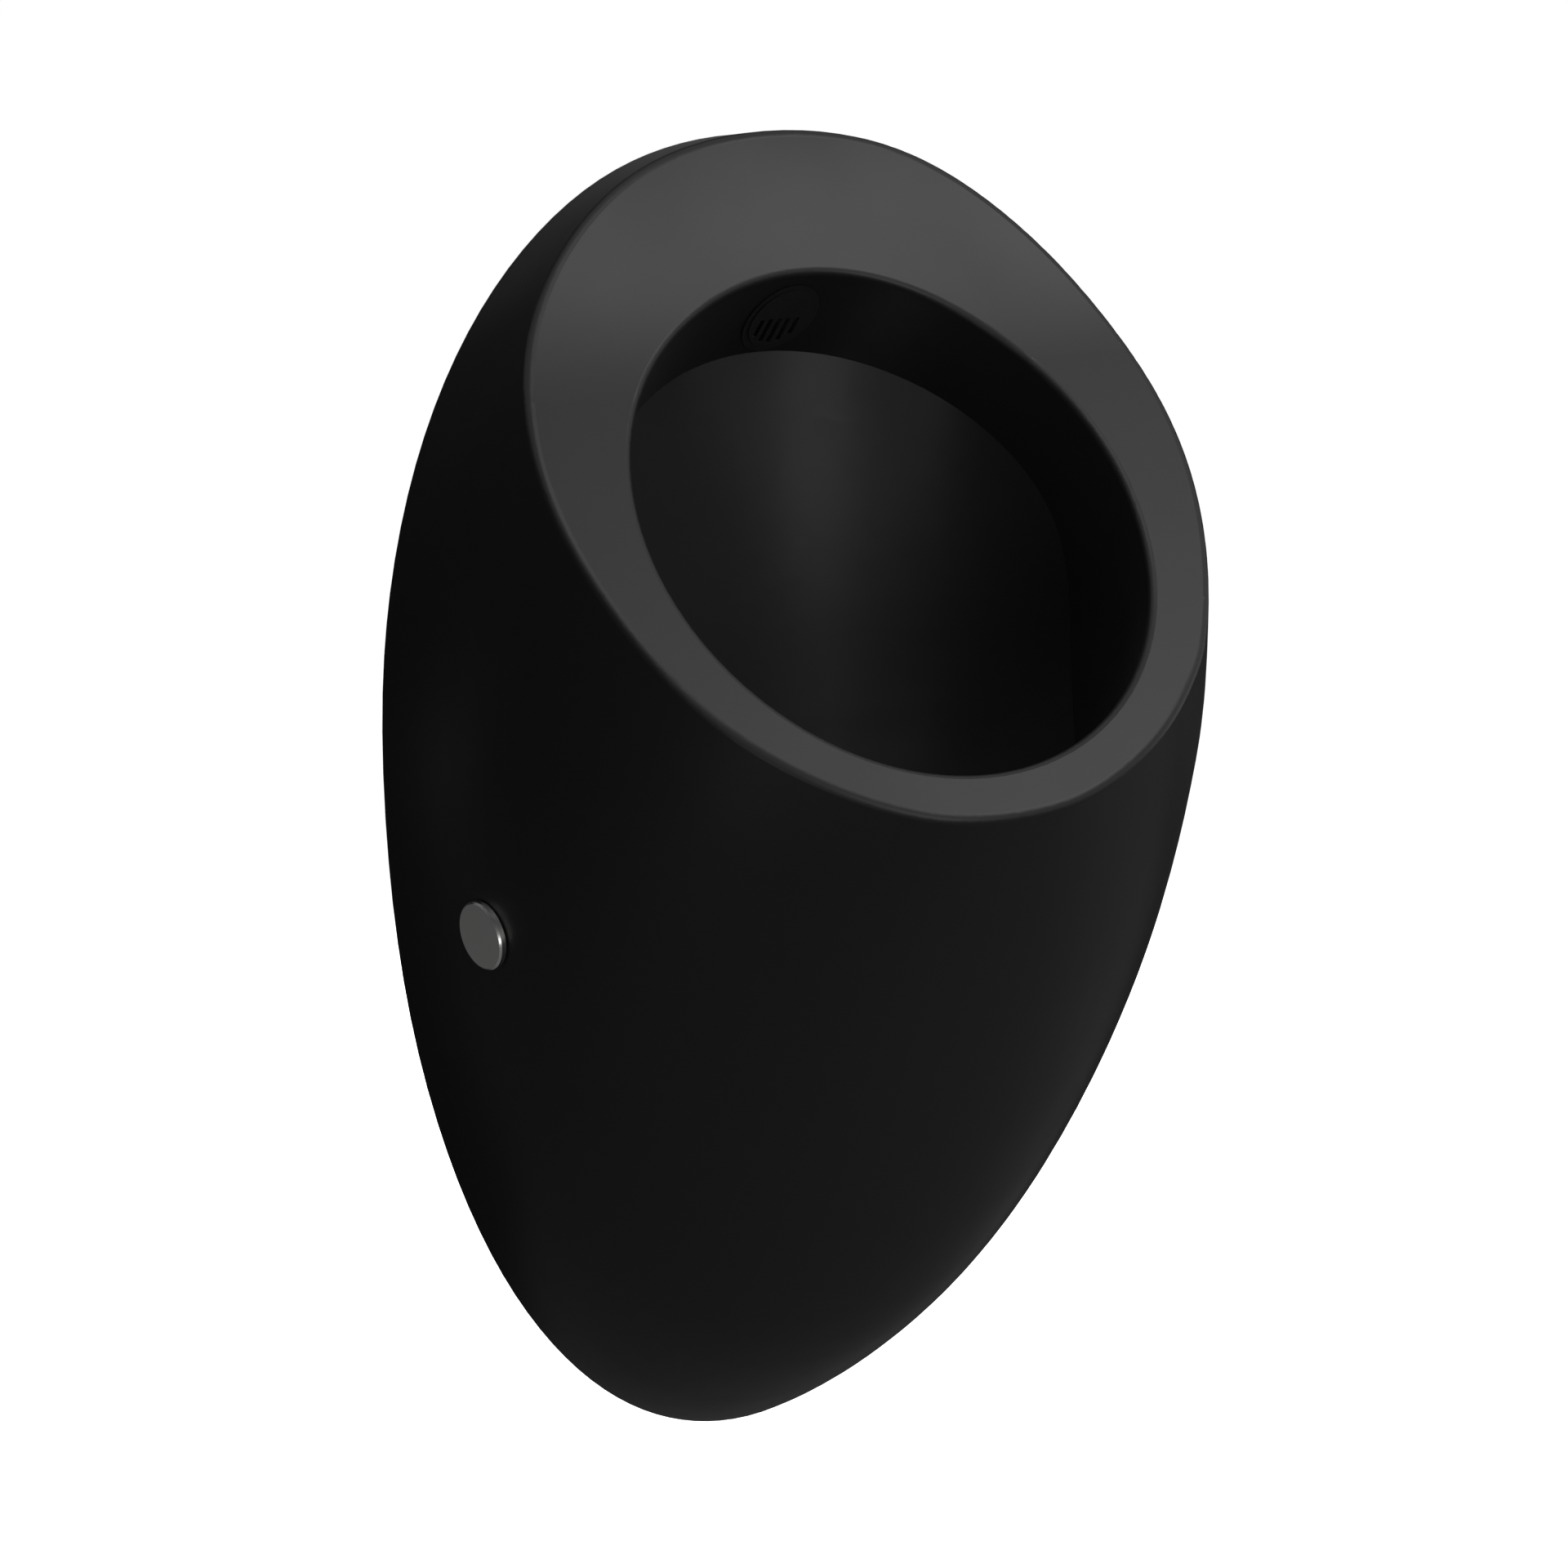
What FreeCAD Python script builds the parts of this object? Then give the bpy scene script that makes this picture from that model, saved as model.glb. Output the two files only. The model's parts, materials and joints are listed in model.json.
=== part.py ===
import FreeCAD, Part
import math
import os

# Wall-hung urinal with concealed fixings, in millimetres.
# Frame: X to the right of someone facing the urinal, Y into the wall, Z up.
# Origin: on the finished wall, on the centre line, level with the foot of the china.

# ---- China: the egg-shaped body -------------------------------------------------
body_width = 340.0
foot_angle = 27.7          # slope of the underside where it leaves the wall
belly_angle = 59.8         # slope of the underside below the lip
foot_run = 115.0           # depth over which the underside bends from one to the other
vanish_depth = 310.0       # depth at which the flanks would meet
flank_power = 2.9
widest_height_wall = 337.0
widest_climb = 165.0       # how far the widest level climbs by the lip
widest_climb_power = 2.8
top_height_wall = 592.0
top_rise = 0.172           # rise of the top surface per millimetre of depth
upper_power_wall = 2.14    # roundness of the egg above and below its widest level
upper_power_gain = 0.77
lower_power_wall = 2.04
lower_power_gain = 0.39
egg_points = 24
oval_points = 16
skin = 9.0
wall_flange_width = 17.0
wall_flange_thickness = 10.0

# ---- China: the sloping rim face and its opening --------------------------------
lip_depth = 251.7
rim_slope = 45.5
crease_height = 502.0      # where the flat of the rim bends into the upright top
rim_bend_radius = 294.0
rim_plate = 11.0
rim_edge_round = 4.0
mouth_half_width = 113.5
mouth_half_length = 123.6
mouth_lip = 23.3           # width of the rim at the lip
mouth_edge_round = 3.0
mouth_flare = 0.30         # how fast the lower wall of the mouth leaves its axis

# ---- China: the bowl -------------------------------------------------------------
bowl_back = 24.0           # gap between the wall and the bowl's back
bowl_half_width = 120.0
bowl_half_depth = 112.0
bowl_bend_height = 390.0   # below this the bowl closes in towards the drain
bowl_floor_height = 265.0
bowl_floor_share = 0.312   # size of the flat floor against the bowl's full width
bowl_skin = 9.5

# ---- Drain ------------------------------------------------------------------------
drain_depth = 85.0         # from the wall to the drain's axis
seat_radius = 33.0
seat_recess = 3.5
drain_hole_radius = 24.5
drain_boss_radius = 42.0
drain_boss_height = 6.0
tail_radius = 24.0
tail_wall = 3.0
tail_length = 37.0
tail_lip = 1.8             # how far the ledge at the tail's foot stands inwards
tail_lip_height = 3.0
flange_edge = 0.5          # the waste flange is this much smaller than its seat
flange_thickness = 2.0
top_gasket_thickness = 1.5
bottom_gasket_thickness = 3.0
bottom_gasket_radius = 34.0
waste_nut_height = 9.0
waste_nut_radius = 36.0
waste_nut_lobes = 8
waste_nut_notch = 5.0
strainer_radius = 30.0
strainer_plate = 1.5
strainer_skirt = 8.0
strainer_skirt_wall = 1.4
strainer_rise = 3.0        # of the grate above its rim
strainer_rim = 4.0         # width of the flat rim
strainer_hole_radius = 2.4
strainer_hole_pitch = 7.2
dip_tube_wall = 1.9
dip_collar_height = 5.0
dip_tube_gap = 10.4        # between the dip tube and the trap's floor

# ---- Bottle trap and outlet ---------------------------------------------------------
trap_radius = 38.0
trap_wall = 2.6
trap_height = 96.0
trap_bottom_radius = 26.0
trap_taper = 45.0          # height of the cone at the trap's foot
trap_neck_height = 7.0
trap_neck_wall = 3.4
trap_neck_overlap = 8.0    # of the neck over the waste tail
trap_seal_thickness = 2.5
trap_seal_lip = 1.2
outlet_drop = 22.0         # from the trap's top to the outlet's axis
outlet_radius = 20.0
outlet_wall = 1.9
outlet_socket_wall = 3.0
outlet_socket_depth = 24.0
outlet_socket_gap = 14.0   # from the wall to the socket's mouth
outlet_seal_thickness = 2.8
outlet_seal_length = 12.0
outlet_reach = 45.0        # how far the outlet pipe runs into the wall
pipe_bead_height = 1.6     # bead on a pipe that stops it at its seal
pipe_bead_length = 3.0

# ---- Water inlet -------------------------------------------------------------------
inlet_height = 518.0
inlet_bore_radius = 15.0
inlet_hub_radius = 25.0
inlet_hub_gap = 8.0        # from the wall to the hub's back end
inlet_pipe_wall = 2.4
inlet_insertion = 10.0
inlet_reach = 45.0
seal_sleeve = 0.9          # thickness of the rubber round the pipe and the nozzle
seal_sleeve_length = 8.0
seal_flange_radius = 22.0
seal_flange_thickness = 3.0
nozzle_wall = 2.2
nozzle_flange = 1.5
nozzle_flange_thickness = 0.8
nozzle_proud = 1.8
nozzle_spigot = 12.0
nozzle_slots = 5
nozzle_slot_width = 2.0
nozzle_slot_pitch = 4.2

# ---- Side fixing -------------------------------------------------------------------
side_fix_depth = 88.0
side_fix_height = 275.0
cap_radius = 15.0
cap_thickness = 3.0
cap_bevel = 0.8
cap_lift = 0.35            # between the cap and the glaze
cap_skirt_length = 3.4
cap_skirt_wall = 1.2
counterbore_radius = 10.4
counterbore_depth = 5.8
side_hole_radius = 6.2
bush_flange_thickness = 1.5
bush_collar_height = 2.8
bush_wall = 1.2
side_screw_radius = 4.0
side_head_radius = 7.0
side_head_height = 3.2
side_socket_flats = 5.0
side_screw_length = 40.0
screw_socket_share = 0.35  # of a head's height, left below its socket
side_boss_radius = 18.0
side_boss_depth = 19.0
anchor_gap = 3.0           # between the boss and the anchor
anchor_radius = 11.0
anchor_length = 24.0
stud_radius = 5.0
stud_drop = 22.0           # from the anchor's middle down to the stud
stud_block_half = 9.5
stud_block_length = 24.0
stud_nut_flats = 17.0
stud_nut_height = 8.0
hexagon_bevel_share = 0.12 # of the width across flats
stud_washer_radius = 10.0
stud_washer_thickness = 2.0
stud_tip = 4.0             # how far the stud stands out of its front nut
plug_wall = 2.0
plug_length = 48.0
plug_tip = 8.0             # solid end of a plug
plug_bevel = 1.0

# ---- Hanging hooks -------------------------------------------------------------------
hook_side_gap = 66.0       # from a hook's middle out to the widest of the flank
hook_width = 40.0
hook_steel = 3.0
hook_trough_drop = 142.0   # from the top of the china at the wall to the trough
hook_trough_depth = 15.0
hook_lip_height = 12.0
hook_drop = 66.0
hook_liner = 1.0
hook_screw_radius = 3.0
hook_screw_spacing = 32.0
hook_screw_first = 20.0    # from the trough down to the first screw
hook_screw_length = 40.0
hook_head_radius = 6.0
hook_head_height = 3.4
hook_socket_flats = 4.0
web_height = 50.0
web_shelf = 10.0
web_overhang = 22.0        # how far the web reaches inwards past its hook
web_reach = 46.0

# ---- Clearances ------------------------------------------------------------------------
slip_gap = 0.25            # between pieces that slip over one another
thread_gap = 0.05          # between a thread and its nut, plug or anchor
rubber_gap = 0.1           # between a rubber ring and what it goes round
hole_gap = 0.4             # round a screw or stud in a plain hole

# ---- Places that follow from the sizes ---------------------------------------------------
hook_x = body_width / 2 - hook_side_gap
hook_trough_height = top_height_wall - hook_trough_drop
web_inner_x = hook_x - hook_width / 2 - web_overhang

Vec = FreeCAD.Vector
X_AXIS = Vec(1, 0, 0)
Y_AXIS = Vec(0, 1, 0)
Z_AXIS = Vec(0, 0, 1)
SIDES = {"left": -1, "right": 1}


# ---- General helpers ---------------------------------------------------------------------
def rod(start, axis, radius, length):
    """A solid cylinder from start along axis."""
    return Part.makeCylinder(radius, length, start, axis)


def tube(start, axis, outer, inner, length):
    """A cylinder with a round bore."""
    return rod(start, axis, outer, length).cut(rod(start - axis, axis, inner, length + 2))


def revolve(points):
    """A solid of revolution about Z from (radius, height) corners."""
    outline = Part.makePolygon([Vec(r, 0, z) for r, z in points + points[:1]])
    return Part.Face(outline).revolve(Vec(0, 0, 0), Z_AXIS, 360)


def along(shape, origin, axis):
    """Moves a shape drawn about Z so that its Z axis lies on the given line."""
    placed = shape.copy()
    placed.Placement = FreeCAD.Placement(origin, FreeCAD.Rotation(Z_AXIS, axis))
    return placed


def box(low, high):
    size = high - low
    return Part.makeBox(size.x, size.y, size.z, low)


def prism(points, sweep):
    """A straight extrusion of a closed outline."""
    return Part.Face(Part.makePolygon(points + points[:1])).extrude(sweep)


def hexagon(start, axis, flats, height, bore):
    """A hexagon nut or head, with its corners bevelled and a round bore."""
    corner = flats / math.sqrt(3)
    ring = [Vec(corner * math.cos(math.pi / 3 * k), corner * math.sin(math.pi / 3 * k), 0)
            for k in range(6)]
    bevel = hexagon_bevel_share * flats
    crown = revolve([(0, 0), (corner - bevel, 0), (corner, bevel), (corner, height - bevel),
                     (corner - bevel, height), (0, height)])
    nut = prism(ring, Vec(0, 0, height)).common(crown)
    if bore:
        nut = nut.cut(rod(Vec(0, 0, -1), Z_AXIS, bore, height + 2))
    return along(nut, start, axis)


def closed_curve(points):
    """A smooth closed curve through evenly numbered points."""
    curve = Part.BSplineCurve()
    curve.interpolate(Points=points, PeriodicFlag=True, Parameters=list(range(len(points) + 1)))
    return curve


def flat_face(curve):
    return Part.Face(Part.Wire(curve.toShape()))


def skinned_solid(sections):
    """A solid whose wall runs smoothly through closed curves, given as (place, curve)."""
    places = [place for place, curve in sections]
    first = sections[0][1]
    columns = []
    for poles in zip(*[curve.getPoles() for place, curve in sections]):
        column = Part.BSplineCurve()
        column.interpolate(Points=list(poles), Parameters=places)
        columns.append(column)
    wall = Part.BSplineSurface()
    wall.buildFromPolesMultsKnots([column.getPoles() for column in columns],
                                  first.getMultiplicities(), columns[0].getMultiplicities(),
                                  first.getKnots(), columns[0].getKnots(),
                                  True, False, first.Degree, columns[0].Degree)
    shell = Part.Shell([wall.toShape(), flat_face(first), flat_face(sections[-1][1])])
    shell.sewShape()
    solid = Part.Solid(shell)
    if solid.Volume < 0:
        solid.reverse()
    return solid


def mirrored(shape, side):
    """Pieces are drawn for the left flank and mirrored for the right one."""
    if side < 0:
        return shape
    return shape.mirror(Vec(0, 0, 0), X_AXIS)


# ---- The egg-shaped body -------------------------------------------------------------------
def radians(angle):
    return math.radians(angle)


def foot_radius():
    return foot_run / (math.sin(radians(belly_angle)) - math.sin(radians(foot_angle)))


def bottom_angle(depth):
    """Slope of the underside, in radians: an arc from the wall, then straight."""
    if depth >= foot_run:
        return radians(belly_angle)
    return math.asin(math.sin(radians(foot_angle)) + depth / foot_radius())


def bottom_height(depth):
    bend = foot_radius() * (math.cos(radians(foot_angle)) - math.cos(bottom_angle(depth)))
    return bend + max(0.0, depth - foot_run) * math.tan(radians(belly_angle))


def half_width(depth):
    return body_width / 2 * (1 - (depth / vanish_depth) ** flank_power)


def flank_slope(depth):
    share = (depth / vanish_depth) ** (flank_power - 1)
    return body_width / 2 * flank_power * share / vanish_depth


def widest_height(depth):
    return widest_height_wall + widest_climb * (depth / lip_depth) ** widest_climb_power


def top_height(depth):
    return top_height_wall + top_rise * depth


def powers(depth):
    share = depth / lip_depth
    return upper_power_wall + upper_power_gain * share, lower_power_wall + lower_power_gain * share


def egg_size(depth, inset):
    """Half width, widest level, top and bottom of the egg at one depth from the wall."""
    wide = half_width(depth) - inset * math.hypot(1, flank_slope(depth))
    bottom = bottom_height(depth) + inset / math.cos(bottom_angle(depth))
    return wide, widest_height(depth), top_height(depth) - inset, bottom


def signed_power(value, power):
    return math.copysign(abs(value) ** (2 / power), value)


def egg_curve(depth, inset):
    """Closed curve of two half super-ellipses that share their widest level."""
    wide, middle, top, bottom = egg_size(depth, inset)
    upper, lower = powers(depth)
    points = []
    for k in range(egg_points):
        angle = 2 * math.pi * k / egg_points
        rising = math.sin(angle) >= 0
        power = upper if rising else lower
        reach = top - middle if rising else middle - bottom
        x = wide * signed_power(math.cos(angle), power)
        z = middle + reach * signed_power(math.sin(angle), power)
        points.append(Vec(x, -depth, z))
    return closed_curve(points)


def egg_solid(inset, back):
    """The body behind the rim as a loft of eggs, started at the given depth."""
    beyond_lip = lip_depth + 0.08 * lip_depth
    shares = (0.0, 0.07, 0.18, 0.31, 0.45, 0.59, 0.72, 0.85, 1.0)
    depths = [back + (beyond_lip - back) * share for share in shares]
    return skinned_solid([(depth, egg_curve(depth, inset)) for depth in depths])


# ---- The rim face --------------------------------------------------------------------------
def rim_along():
    """Direction up the straight of the rim, from the lip."""
    return Vec(0, math.cos(radians(rim_slope)), math.sin(radians(rim_slope)))


def rim_inward():
    """Direction into the china, square to the straight of the rim."""
    return Vec(0, math.sin(radians(rim_slope)), -math.cos(radians(rim_slope)))


def lip_point():
    return Vec(0, -lip_depth, bottom_height(lip_depth))


def rim_front(inset):
    """Everything in front of the rim face: a straight that bends upright near the top."""
    up = rim_along()
    start = lip_point() + rim_inward() * inset
    run = (crease_height - lip_point().z) / math.sin(radians(rim_slope))
    bend = start + up * run
    radius = rim_bend_radius + inset
    centre = bend - rim_inward() * radius
    halfway = radians((rim_slope + 90) / 2)
    top = centre + Y_AXIS * radius
    foot = start - up * 0.5 * lip_depth
    ahead = -2 * lip_depth
    high = top.z + rim_bend_radius
    edges = [Part.LineSegment(foot, bend).toShape(),
             Part.Arc(bend, centre + Vec(0, math.sin(halfway), -math.cos(halfway)) * radius,
                      top).toShape(),
             Part.LineSegment(top, Vec(0, top.y, high)).toShape(),
             Part.LineSegment(Vec(0, top.y, high), Vec(0, ahead, high)).toShape(),
             Part.LineSegment(Vec(0, ahead, high), Vec(0, ahead, foot.z)).toShape(),
             Part.LineSegment(Vec(0, ahead, foot.z), foot).toShape()]
    face = Part.Face(Part.Wire(edges))
    face.translate(Vec(-body_width, 0, 0))
    return face.extrude(Vec(2 * body_width, 0, 0))


# ---- The mouth and the bowl ------------------------------------------------------------------
def oval_curve(centre, u, v):
    """Closed curve through an ellipse with half axes u and v."""
    points = []
    for k in range(oval_points):
        angle = 2 * math.pi * k / oval_points
        points.append(centre + u * math.cos(angle) + v * math.sin(angle))
    return closed_curve(points)


def mouth(grow):
    """The way in through the rim: an oval cone whose upper wall runs square to the rim."""
    middle = lip_point() + rim_along() * (mouth_lip + mouth_half_length)
    wires = []
    for travel in (-0.35 * mouth_half_length, 1.9 * mouth_half_length):
        half_length = mouth_half_length + grow + mouth_flare * travel / 2
        centre = middle + rim_inward() * travel - rim_along() * (mouth_flare * travel / 2)
        oval = oval_curve(centre, X_AXIS * (mouth_half_width + grow), rim_along() * half_length)
        wires.append(Part.Wire(oval.toShape()))
    return Part.makeLoft(wires, True, True)


def vessel(grow):
    """An upright oval vessel, round below its bend, where it closes in towards the drain."""
    axis = Vec(0, -drain_depth, 0)
    centre = Vec(0, -bowl_back - bowl_half_depth, 0)
    straight = top_height_wall - bowl_bend_height
    last = math.acos(bowl_floor_share)
    fall = (bowl_bend_height - bowl_floor_height + grow) / math.sin(last)
    stations = [(-straight * share, 1.0, bowl_bend_height + straight * share)
                for share in (1.2, 0.8, 0.4, 0.15, 0.0)]
    for share in (0.2, 0.4, 0.6, 0.8, 1.0):
        turn = share * last
        stations.append((fall * turn, math.cos(turn), bowl_bend_height - fall * math.sin(turn)))
    sections = []
    for place, scale, height in stations:
        shift = (scale - bowl_floor_share) / (1 - bowl_floor_share)
        middle = axis + (centre - axis) * shift + Z_AXIS * height
        sections.append((place, oval_curve(middle, X_AXIS * (bowl_half_width * scale + grow),
                                           Y_AXIS * (bowl_half_depth * scale + grow))))
    return skinned_solid(sections)


def bowl(grow):
    return mouth(grow).common(vessel(grow))


# ---- Where things sit on the china ---------------------------------------------------------------
def flank_x(depth, height):
    """Half width of the china at one depth and height."""
    wide, middle, top, bottom = egg_size(depth, 0.0)
    upper, lower = powers(depth)
    if height >= middle:
        share, power = (height - middle) / (top - middle), upper
    else:
        share, power = (middle - height) / (middle - bottom), lower
    return wide * (1 - share ** power) ** (1 / power)


def side_point():
    """Centre of the left side fixing, on the glaze."""
    return Vec(-flank_x(side_fix_depth, side_fix_height), -side_fix_depth, side_fix_height)


def side_outward():
    """Square to the glaze at the left side fixing."""
    step = 1.0
    x = flank_x(side_fix_depth, side_fix_height)
    by_depth = (flank_x(side_fix_depth + step, side_fix_height) - x) / step
    by_height = (flank_x(side_fix_depth, side_fix_height + step) - x) / step
    normal = Vec(-1, by_depth, -by_height)
    normal.normalize()
    return normal


def side_place(travel):
    """Point on the axis of the left side fixing; zero on the glaze, positive outwards."""
    return side_point() + side_outward() * travel


def drain_place(height):
    return Vec(0, -drain_depth, height)


def mouth_top():
    """Where the hood's underside meets the rim face on the centre line."""
    return lip_point() + rim_along() * (mouth_lip + 2 * mouth_half_length)


def inlet_place(depth):
    return Vec(0, -depth, inlet_height)


def seat_height():
    return bowl_floor_height - seat_recess


def flange_height():
    """Top of the waste flange, on which the strainer lies."""
    return seat_height() + top_gasket_thickness + flange_thickness


def boss_height():
    """Underside of the china at the drain."""
    return bowl_floor_height - bowl_skin - drain_boss_height


def ceiling_depth(height):
    """Depth of the hood's underside on the centre line."""
    fall = (mouth_top().z - height) / math.cos(radians(rim_slope))
    return -(mouth_top().y + fall * math.sin(radians(rim_slope)))


def in_front_of_mouth():
    """A depth that lies in the open mouth at the level of the water inlet."""
    return ceiling_depth(inlet_height) + inlet_hub_radius


# ---- China ------------------------------------------------------------------------------------------
def hanging_web(side):
    """Upright web and shelf behind the bowl that drop into one hanging hook."""
    back = hook_steel + hook_liner + slip_gap
    front = hook_steel + hook_trough_depth - hook_liner - slip_gap
    low = hook_trough_height + hook_liner
    web = box(Vec(-body_width, -front, low), Vec(-web_inner_x, -back, low + web_height))
    shelf = box(Vec(-body_width, -web_reach, low + web_height - web_shelf),
                Vec(-web_inner_x, -back, low + web_height))
    return mirrored(web.fuse(shelf), side)


def side_boss(side):
    """Thick pad inside the flank round one side fixing."""
    outward = side_outward()
    pad = rod(side_place(-side_boss_depth), outward, side_boss_radius, side_boss_depth)
    return mirrored(pad, side)


def side_bore(side):
    outward = side_outward()
    beyond = 5.0
    through = rod(side_place(-side_boss_depth - beyond), outward, side_hole_radius,
                  side_boss_depth + 2 * beyond)
    recess = rod(side_place(-counterbore_depth), outward, counterbore_radius,
                 counterbore_depth + beyond)
    return mirrored(through.fuse(recess), side)


def off_rim(point):
    """Distance from the rim face: a plane up to the crease, then a cylinder."""
    if point.z < crease_height:
        return abs((point - lip_point()).dot(rim_inward()))
    up_to_crease = (crease_height - lip_point().z) / math.sin(radians(rim_slope))
    centre = lip_point() + rim_along() * up_to_crease - rim_inward() * rim_bend_radius
    return abs(math.hypot(point.y - centre.y, point.z - centre.z) - rim_bend_radius)


def across_mouth(point):
    """1 on the outline of the mouth, less inside it."""
    middle = lip_point() + rim_along() * (mouth_lip + mouth_half_length)
    offset = point - middle
    return math.hypot(offset.x / mouth_half_width, offset.dot(rim_along()) / mouth_half_length)


def rim_edges(shape):
    """The curved edges of the rim face: those round its outside, and those round the mouth."""
    outside = []
    round_mouth = []
    for edge in shape.Edges:
        points = edge.discretize(9)
        if isinstance(edge.Curve, Part.Line) or max(off_rim(point) for point in points) > 0.1:
            continue
        if across_mouth(points[4]) > 1.1:
            outside.append(edge)
        else:
            round_mouth.append(edge)
    return outside, round_mouth


def glazed_form():
    """The outside of the china with its bowl, before the open back is taken out."""
    form = egg_solid(0.0, 0.0).cut(rim_front(0.0)).cut(bowl(0.0))
    form = form.makeFillet(rim_edge_round, rim_edges(form)[0])
    return form.makeFillet(mouth_edge_round, rim_edges(form)[1])


def open_back():
    """The hollow behind the glaze, from the wall flange to the rim plate, round the bowl."""
    core = egg_solid(skin, 0.0).cut(rim_front(rim_plate))
    behind = box(Vec(-body_width, -wall_flange_thickness, -wall_flange_thickness),
                 Vec(body_width, wall_flange_thickness, 2 * top_height_wall))
    opening = flat_face(egg_curve(0.0, wall_flange_width))
    opening = opening.extrude(Vec(0, -wall_flange_thickness, 0))
    hollow = core.cut(behind).fuse(opening)
    drain_boss = rod(drain_place(boss_height()), Z_AXIS, drain_boss_radius,
                     drain_boss_height + bowl_skin)
    hub = rod(inlet_place(in_front_of_mouth()), Y_AXIS, inlet_hub_radius,
              in_front_of_mouth() - inlet_hub_gap)
    solid = [bowl(bowl_skin), drain_boss, hub]
    for side in SIDES.values():
        solid.append(hanging_web(side))
        solid.append(side_boss(side))
    return hollow.cut(solid)


def ceramic_body():
    seat = rod(drain_place(seat_height()), Z_AXIS, seat_radius, seat_recess + bowl_skin)
    drain = rod(drain_place(boss_height() - 5), Z_AXIS, drain_hole_radius, seat_radius)
    inlet = rod(inlet_place(in_front_of_mouth()), Y_AXIS, inlet_bore_radius, in_front_of_mouth())
    bores = [seat, drain, inlet] + [side_bore(side) for side in SIDES.values()]
    return glazed_form().cut(open_back()).cut(bores)


# ---- Waste fitting -----------------------------------------------------------------------------------
def tail_bore():
    return tail_radius - tail_wall


def tail_bottom():
    return flange_height() - tail_length


def dip_tube_radius():
    return tail_bore() - tail_lip - slip_gap


def waste_tail():
    """Flanged tube through the china, with a ledge at its foot for the dip tube."""
    low = tail_bottom()
    top = flange_height()
    edge = seat_radius - flange_edge
    ledge = tail_bore() - tail_lip
    outline = [(tail_bore(), low + tail_lip_height), (ledge, low + tail_lip_height), (ledge, low),
               (tail_radius, low), (tail_radius, top - flange_thickness),
               (edge, top - flange_thickness), (edge, top), (tail_bore(), top)]
    return along(revolve(outline), drain_place(0), Z_AXIS)


def waste_top_gasket():
    ring = tube(Vec(0, 0, 0), Z_AXIS, seat_radius - 2 * flange_edge,
                drain_hole_radius + slip_gap, top_gasket_thickness)
    return along(ring, drain_place(seat_height()), Z_AXIS)


def waste_bottom_gasket():
    return tube(drain_place(boss_height() - bottom_gasket_thickness), Z_AXIS,
                bottom_gasket_radius, tail_radius + rubber_gap, bottom_gasket_thickness)


def waste_nut():
    """Hand nut with finger notches round its rim."""
    low = drain_place(boss_height() - bottom_gasket_thickness - waste_nut_height)
    nut = tube(low, Z_AXIS, waste_nut_radius, tail_radius + thread_gap, waste_nut_height)
    notches = []
    for k in range(waste_nut_lobes):
        angle = 2 * math.pi * k / waste_nut_lobes
        spot = Vec(math.cos(angle), math.sin(angle), 0) * (waste_nut_radius + 1.0)
        notches.append(rod(low + spot - Z_AXIS, Z_AXIS, waste_nut_notch, waste_nut_height + 2))
    return nut.cut(notches)


def strainer():
    """Raised grate that lies loose on the waste flange, centred by its skirt."""
    raised = strainer_radius - strainer_rim
    flat = raised - strainer_rise
    top = strainer_rise + strainer_plate
    skirt_outer = tail_bore() - slip_gap
    skirt_inner = skirt_outer - strainer_skirt_wall
    outline = [(0, strainer_rise), (skirt_inner, strainer_rise), (skirt_inner, -strainer_skirt),
               (skirt_outer, -strainer_skirt), (skirt_outer, strainer_rise), (flat, strainer_rise),
               (raised, 0), (strainer_radius, 0), (strainer_radius, strainer_plate),
               (raised, strainer_plate), (flat, top), (0, top)]
    grate = revolve(outline)
    holes = [rod(Vec(0, 0, 0), Z_AXIS, strainer_hole_radius, top + 1)]
    for ring in (1, 2):
        for k in range(6 * ring):
            angle = 2 * math.pi * k / (6 * ring)
            spot = Vec(math.cos(angle), math.sin(angle), 0) * (ring * strainer_hole_pitch)
            holes.append(rod(spot, Z_AXIS, strainer_hole_radius, top + 1))
    return along(grate.cut(holes), drain_place(flange_height()), Z_AXIS)


# ---- Bottle trap ---------------------------------------------------------------------------------------
def trap_top():
    return tail_bottom() + trap_neck_overlap - trap_neck_height


def trap_bottom():
    return trap_top() - trap_height


def neck_bore():
    return tail_radius + trap_seal_thickness


def outlet_height():
    return trap_top() - outlet_drop


def socket_bore():
    return outlet_radius + outlet_seal_thickness


def dip_tube():
    """Tube that hangs by its collar on the ledge in the waste tail and dips into the trap."""
    low = trap_bottom() + trap_wall + dip_tube_gap
    ledge = tail_bottom() + tail_lip_height
    collar = tail_bore() - slip_gap
    bore = dip_tube_radius() - dip_tube_wall
    outline = [(bore, low), (dip_tube_radius(), low), (dip_tube_radius(), ledge), (collar, ledge),
               (collar, ledge + dip_collar_height), (bore, ledge + dip_collar_height)]
    return along(revolve(outline), drain_place(0), Z_AXIS)


def trap_cup(inset):
    low = trap_bottom() + inset
    knee = trap_bottom() + trap_taper
    return along(revolve([(0, low), (trap_bottom_radius - inset, low), (trap_radius - inset, knee),
                          (trap_radius - inset, trap_top() - inset), (0, trap_top() - inset)]),
                 drain_place(0), Z_AXIS)


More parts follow.
